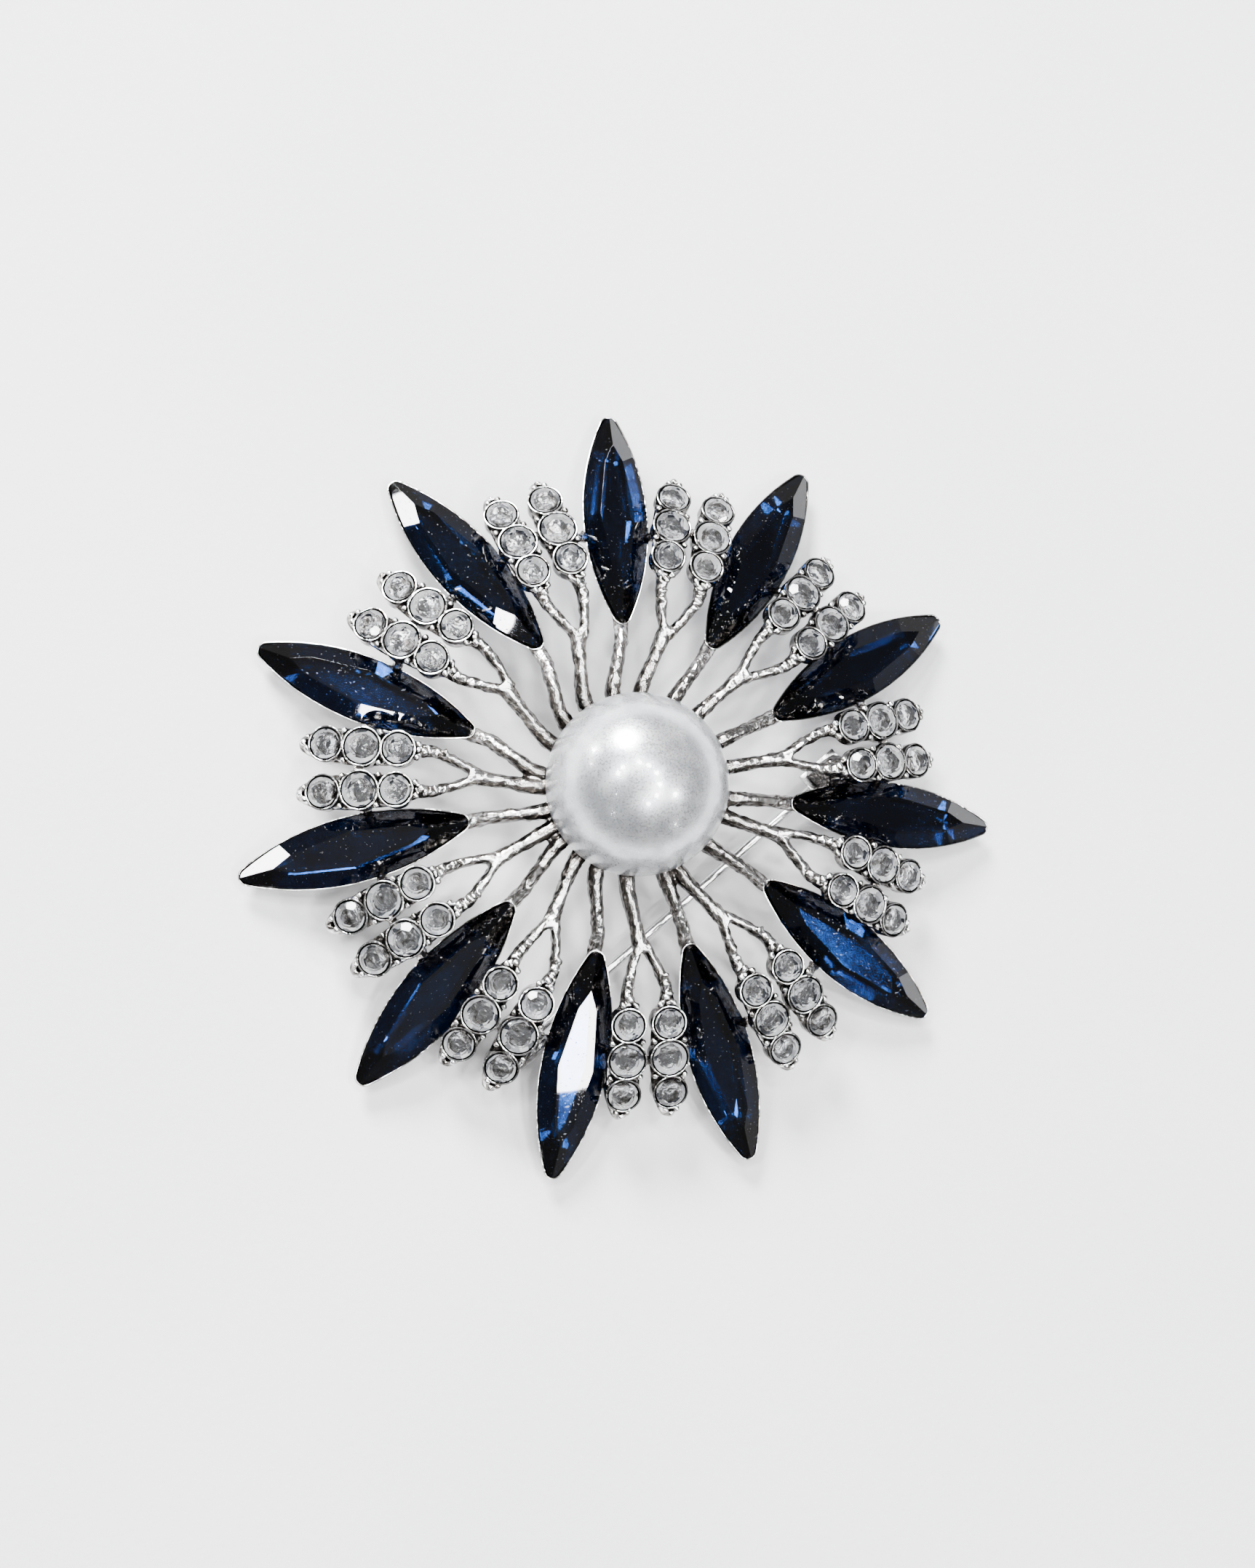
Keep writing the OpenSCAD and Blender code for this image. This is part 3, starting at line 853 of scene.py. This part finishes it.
def stoneCups():
    shell = pointedOval("cup", cup["length"], cup["width"], cup["blunt"], cup["low"], cup["rim"])
    selectWhere(shell, lambda c, n: n.z < -0.9)
    bpy.ops.transform.resize(value=cup["taper"], center_override=(0, 0, 0))
    endEdit()
    selectWhere(shell, lambda c, n: n.z > 0.9)
    bpy.ops.mesh.inset(thickness=cup["lip"] * mm)
    bpy.ops.mesh.extrude_region_move(TRANSFORM_OT_translate={"value": (0, 0, cup["ledge"] * mm)})
    bpy.ops.mesh.extrude_region_move(TRANSFORM_OT_translate={"value": (0, 0, cup["pocket"] * mm)})
    bpy.ops.transform.resize(value=cup["taper"], center_override=(0, 0, 0))
    endEdit()
    softEdges(shell, cup["edge"], 2, 35)
    smoothShade(shell, 35)
    for i in range(flower["arms"]):
        piece = place(copyPiece(shell, f"stoneCup{i + 1:02d}"), stoneSeat(i))
        finishPiece(piece, seatMetal, "flower", "plated_casting")
    remove(shell)


stoneCups()
longStones()
print("long stones and cups done")

# round stones
chaton = {"table": 0.56, "crown": 0.36, "girdleLow": 0.1, "girdleTop": 0.2, "culet": -0.5, "point": 0.12,
          # small crown facets stand this much steeper; turn per flower arm, per seat and per side
          "steeper": 1.5, "spin": (17, 29, 11)}


def roundStone(diameter):
    r = diameter / 2
    stone = cylinder("roundStone", r, chaton["culet"], chaton["girdleTop"] + chaton["crown"], corners=32)
    rise, run = chaton["crown"], (1 - chaton["table"]) * r
    down, back = chaton["girdleLow"] - chaton["culet"], (1 - chaton["point"]) * r
    for k in range(8):
        a = math.radians(45 * k)
        out = Vector((math.cos(a), math.sin(a), 0))
        flatCut(stone, (out * r + Vector((0, 0, chaton["girdleTop"]))) * mm,
                out * rise + Vector((0, 0, run)))
        flatCut(stone, (out * r + Vector((0, 0, chaton["girdleLow"]))) * mm,
                out * down - Vector((0, 0, back)))
    for k in range(16):
        a = math.radians(22.5 * k + 11.25)
        out = Vector((math.cos(a), math.sin(a), 0))
        flatCut(stone, (out * r + Vector((0, 0, chaton["girdleTop"]))) * mm,
                out * rise * chaton["steeper"] + Vector((0, 0, run)))
    splitGlass(stone, crystal, whiteFoil)
    return stone


def roundStones():
    models = [roundStone(d) for d in row["stone"]]
    perArm, perSeat, perSide = chaton["spin"]
    for i in range(flower["arms"]):
        stones = []
        for s in (-1, 1):
            for k, model in enumerate(models):
                spin = Matrix.Rotation(math.radians(perArm * i + perSeat * k + perSide * s), 4, "Z")
                seat = turnZ(forkTurn(i)) @ roundSeat(s, k)
                stones.append(place(copyPiece(model, "stone"), seat @ spin))
        piece = joinAll(stones, f"roundStones{i + 1:02d}")
        finishPiece(piece, None, "flower", "clear_crystal", f"round_stones_{i + 1:02d}")
    for model in models:
        remove(model)


roundStones()
print("round stones done")

# half pearl
pearl = {"radius": 6.0, "centre": 2.4, "base": 2.0}


def halfPearl():
    clearSelection()
    bpy.ops.mesh.primitive_uv_sphere_add(segments=128, ring_count=96, radius=pearl["radius"] * mm,
                                         location=(0, 0, pearl["centre"] * mm))
    ball = settle(named("halfPearl"))
    flatCut(ball, (0, 0, pearl["base"] * mm), (0, 0, -1))
    softEdges(ball, 0.06, 3, 40)
    smoothShade(ball, 40)
    return finishPiece(ball, pearlCoat, "flower", "pearl_lacquer", "pearl")


halfPearl()
print("pearl done")

# hinge, pin and catch, on the pin's own line
hinge = {"plate": (3, 2.6, 0.4), "ear": 0.42, "gap": 0.55, "earRadius": 0.85, "rivet": 0.32, "head": 0.52}
stem = {"eye": 0.75, "eyeWidth": 0.9, "bore": 0.37,
        # distance from the hinge and thickness there
        "wire": ((0.5, 0.84), (1.6, 0.66), (12, 0.66), (23.9, 0.66), (26.4, 0.56), (27.8, 0.28),
                 (28.8, 0.08))}
catch = {"radius": 1.25, "long": 2.2, "bore": 0.93, "slot": 0.98, "sleeve": 0.88, "sleeveBore": 0.55}


def lying(ob, axis):
    turn = Matrix.Rotation(math.radians(90), 4, "Y" if axis == "X" else "X")
    return place(ob, turn)


def moved(ob, x, y, z):
    return place(ob, Matrix.Translation(Vector((x, y, z)) * mm))


def hingeBracket():
    top = pinLine["plateTop"] - pinLine["pivot"]
    bracket = block("hingeBracket", hinge["plate"], (0, 0, top - 0.2))
    for s in (-1, 1):
        y = s * (hinge["gap"] + hinge["ear"] / 2)
        half = hinge["ear"] / 2
        disc = lying(cylinder("ear", hinge["earRadius"], -half, half, corners=64), "Y")
        web = block("web", (1.7, hinge["ear"], top - 0.2), (0, 0, (top - 0.2) / 2))
        ear = combine(disc, web, "UNION")
        bracket = combine(bracket, moved(ear, 0, y, 0), "UNION")
    hole = lying(cylinder("hole", hinge["rivet"] + 0.01, -3, 3, corners=32), "Y")
    softEdges(combine(bracket, hole, "DIFFERENCE"), 0.05, 2)
    bracket.name = bracket.data.name = "hingeBracket"
    smoothShade(place(bracket, onPin(pinLine["hinge"], pinLine["pivot"])), 35)
    return finishPiece(bracket, findingMetal, "flower", "plated_findings", "hinge_bracket")


def hingeRivet():
    half = hinge["gap"] + hinge["ear"] + 0.02
    parts = [lying(cylinder("shank", hinge["rivet"], -half - 0.1, half + 0.1, corners=32), "Y")]
    for s in (-1, 1):
        head = softEdges(cylinder("head", hinge["head"], -0.12, 0.12, corners=40), 0.09, 4)
        parts.append(moved(lying(head, "Y"), 0, s * (half + 0.12), 0))
    rivet = place(joinAll(parts, "hingeRivet"), onPin(pinLine["hinge"], pinLine["pivot"]))
    return finishPiece(smoothShade(rivet, 40), findingMetal, "flower", "plated_findings", "hinge_rivet")


def pinStem():
    eye = lying(cylinder("eye", stem["eye"], -stem["eyeWidth"] / 2, stem["eyeWidth"] / 2, corners=64), "Y")
    hole = lying(cylinder("hole", stem["bore"], -1, 1, corners=40), "Y")
    softEdges(combine(eye, hole, "DIFFERENCE"), 0.06, 2)
    wire = growRod("wire", [(0, y, w / 2, w, w, 0) for y, w in stem["wire"]], corners=24)
    place(wire, Matrix.Rotation(math.radians(90), 4, "Z"))
    whole = place(joinAll([eye, wire], "pinStem"), onPin(pinLine["hinge"], pinLine["pivot"]))
    return finishPiece(smoothShade(whole, 35), wireMetal, "stem", "pin_wire", "pin_stem")


def catchBody():
    long, radius = catch["long"], catch["radius"]
    top = pinLine["plateTop"] + 0.32 - pinLine["pivot"]
    body = lying(cylinder("catchBody", radius, -long / 2, long / 2, corners=72), "X")
    body = combine(body, block("neck", (long, 1.6, radius + 0.2), (0, 0, (radius + 0.2) / 2)), "UNION")
    body = combine(body, block("plate", (long, 2, 0.4), (0, 0.2, top - 0.2)), "UNION")
    body = combine(body, lying(cylinder("bore", catch["bore"], -3, 3, corners=64), "X"), "DIFFERENCE")
    body = combine(body, block("slot", (4, catch["slot"], 3), (0, 0, -1.5)), "DIFFERENCE")
    softEdges(body, 0.05, 2)
    smoothShade(place(body, onPin(pinLine["catch"], pinLine["pivot"])), 35)
    return finishPiece(body, findingMetal, "flower", "plated_findings", "catch_body")


def catchSleeve():
    half = (catch["long"] + 0.16) / 2
    sleeve = lying(cylinder("catchSleeve", catch["sleeve"], -half - 0.2, half + 0.2, corners=64), "X")
    lip = moved(lying(cylinder("lip", 1.08, -0.15, 0.15, corners=64), "X"), -half - 0.15, 0, 0)
    flange = moved(lying(cylinder("flange", 1.15, -0.225, 0.225, corners=64), "X"), half + 0.225, 0, 0)
    knob = moved(lying(cylinder("knob", 0.4, -0.21, 0.21, corners=40), "X"), 0, 1.8, 0)
    tab = combine(block("tab", (0.4, 1.1, 0.7), (0, 1.25, 0)), knob, "UNION")
    turned = Matrix.Rotation(math.radians(45), 4, "X")
    place(tab, Matrix.Translation((half * mm + 0.225 * mm, 0, 0)) @ turned)
    for part in (lip, flange, tab):
        sleeve = combine(sleeve, part, "UNION")
    bore = lying(cylinder("bore", catch["sleeveBore"], -4, 4, corners=48), "X")
    sleeve = combine(sleeve, bore, "DIFFERENCE")
    sleeve = combine(sleeve, block("slot", (6, catch["slot"], 3), (0, 0, -1.5)), "DIFFERENCE")
    softEdges(sleeve, 0.04, 2)
    smoothShade(place(sleeve, onPin(pinLine["catch"], pinLine["pivot"])), 35)
    return finishPiece(sleeve, findingMetal, "lock", "plated_findings", "catch_sleeve")


hingeBracket()
hingeRivet()
pinStem()
catchBody()
catchSleeve()
print("findings done")

# floor, camera, light
card = {"size": 0.9, "gap": 0.05}    # side in metres, gap under the brooch in millimetres
low, high = startBounds
clearSelection()
bpy.ops.mesh.primitive_plane_add(size=card["size"], location=(0, 0, low.z - card["gap"] * mm))
floor = settle(named("tableTop"))
floor.data.materials.append(cardFace)

cameraPlace = {"spot": (-30.76, -14.97, 154.67), "right": (0.97975, -0.07249, 0.18664),
               "up": (0.05280, 0.99271, 0.10838), "back": (-0.19313, -0.09633, 0.97643), "lens": 55.1,
               "sensor": 36, "clip": (0.005, 5)}


def addCamera():
    data = bpy.data.cameras.new("camera")
    data.lens = cameraPlace["lens"]
    data.sensor_width = cameraPlace["sensor"]
    data.clip_start, data.clip_end = cameraPlace["clip"]
    ob = bpy.data.objects.new("camera", data)
    bpy.context.collection.objects.link(ob)
    turn = Matrix((cameraPlace["right"], cameraPlace["up"], cameraPlace["back"])).transposed()
    ob.matrix_world = Matrix.Translation(Vector(cameraPlace["spot"]) * mm) @ turn.to_4x4()
    bpy.context.scene.camera = ob


def addLight(name, direction, distance, size, power):
    data = bpy.data.lights.new(name, "AREA")
    data.shape = "DISK"
    data.size = size
    data.energy = power
    ob = bpy.data.objects.new(name, data)
    bpy.context.collection.objects.link(ob)
    way = Vector(direction).normalized()
    ob.location = way * distance
    ob.rotation_mode = "QUATERNION"
    ob.rotation_quaternion = way.to_track_quat("Z", "Y")
    ob.visible_camera = False


# the big panel beyond the far edge and a smaller lamp near the right: (direction, distance, size, power)
softLamps = {"keyPanel": ((-0.26, 0.80, 0.54), 0.6, 0.20, 15.0),
             "sideLamp": ((0.576, -0.31, 0.756), 0.6, 0.06, 1.2)}

# small lamps on an arc round the lens, in degrees anticlockwise from the right
ringLamps = {"angles": (-60, -30, 0, 30, 60, 85, 130, 150), "spread": 0.46, "away": 0.5,
             "size": 0.05, "power": 0.8}


def addRingLamps():
    right, up, back = (Vector(cameraPlace[k]) for k in ("right", "up", "back"))
    for k, angle in enumerate(ringLamps["angles"]):
        a = math.radians(angle)
        side = right * math.cos(a) + up * math.sin(a)
        way = side * ringLamps["spread"] + back * math.sqrt(1 - ringLamps["spread"] ** 2)
        addLight(f"ringLamp{k + 1}", way, ringLamps["away"], ringLamps["size"], ringLamps["power"])


# pin-point lamps, each caught by one facet of a long stone: (direction, size, power)
glintLamps = (((-0.747, 0.621, 0.236), 0.05, 0.9), ((-0.607, -0.583, 0.54), 0.014, 0.07),
              ((0.547, -0.757, 0.357), 0.016, 0.09), ((-0.873, 0.38, 0.306), 0.02, 0.14),
              ((-0.599, -0.254, 0.76), 0.012, 0.06))
glintAway = 0.5


def addGlintLamps():
    for k, (way, size, power) in enumerate(glintLamps):
        addLight(f"glintLamp{k + 1}", way, glintAway, size, power)


# brightness of the room from straight down to straight up
room = {"tones": ((0.0, 0.5), (0.2, 0.16), (0.45, 0.06), (0.75, 0.12), (0.95, 0.34)), "strength": 1.4}


def addWorld():
    world = bpy.data.worlds.new("softRoom")
    bpy.context.scene.world = world
    world.use_nodes = True
    tree = world.node_tree
    upward = addNode(tree, "TexCoord").outputs["Generated"]
    height = addNode(tree, "SeparateXYZ", None, {0: upward}).outputs["Z"]
    colour = rampNode(tree, height, room["tones"])
    tree.links.new(colour, tree.nodes["Background"].inputs["Color"])
    tree.nodes["Background"].inputs["Strength"].default_value = room["strength"]


addCamera()
addWorld()
addLight("keyPanel", *softLamps["keyPanel"])
addLight("sideLamp", *softLamps["sideLamp"])
addRingLamps()
addGlintLamps()
print("stage set")
